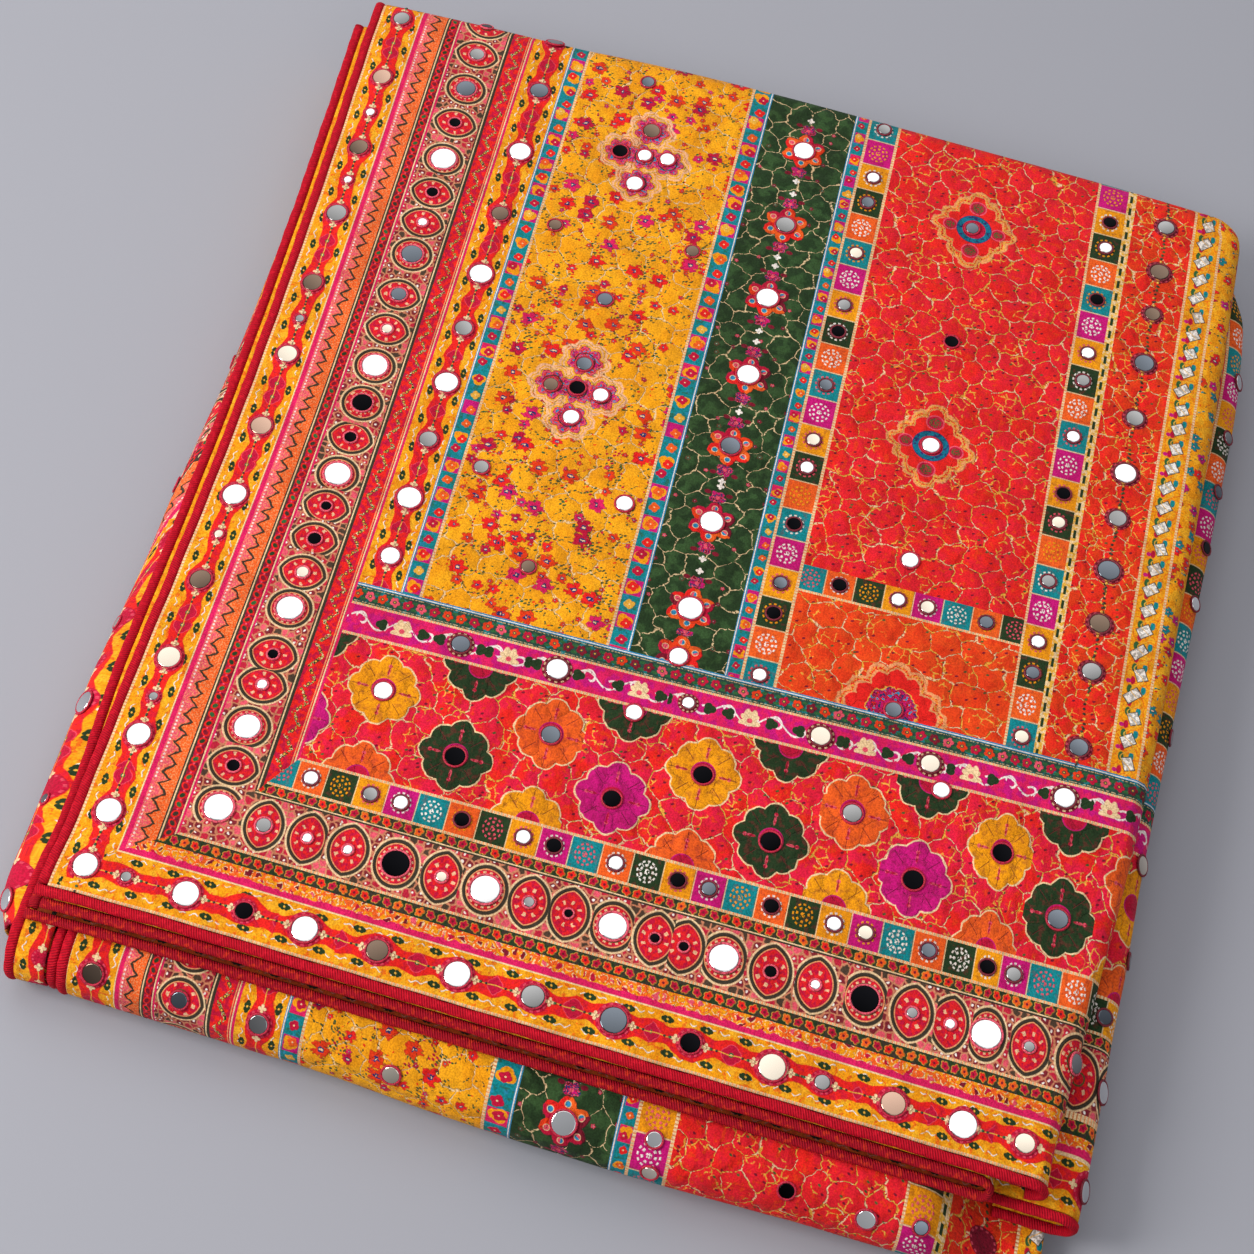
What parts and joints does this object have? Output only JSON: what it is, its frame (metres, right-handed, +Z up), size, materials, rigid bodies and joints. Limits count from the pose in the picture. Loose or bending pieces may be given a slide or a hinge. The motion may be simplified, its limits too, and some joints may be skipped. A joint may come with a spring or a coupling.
{
  "type": "folded mirror work dupatta",
  "caption": "A long printed cloth with round mirrors and a rolled crimson edge, folded into a flat stack that rests on a surface; worn as a scarf or shawl when opened out.",
  "frame": {"origin": "the centre of the box's bottom face, on the surface that the folded stack rests on", "axes": "+X to the right along the front edge, towards the lengthwise fold; +Y from the front edge to the far fold; +Z up"},
  "size_m": [0.5136, 0.5996, 0.0515],
  "materials": {
    "printed cloth": "matt printed cotton with stitched mirrors",
    "binding": "soft satin ribbing",
    "inner cloth": "matt printed cotton"
  },
  "bodies": {
    "root": {"top-ply": "printed cloth", "top-end-binding": "binding", "top-side-binding": "binding", "inner-fold": "printed cloth", "inner-fold-end-binding": "binding", "inner-upper-binding": "binding", "inner-lower-binding": "binding", "outer-fold": "printed cloth", "outer-fold-binding": "binding", "front-fold": "printed cloth", "front-fold-binding": "binding", "front-inner-binding": "binding", "left-fold": "printed cloth", "left-fold-binding": "binding", "left-drape": "printed cloth", "hidden-layers": "inner cloth"}
  },
  "joints": []
}
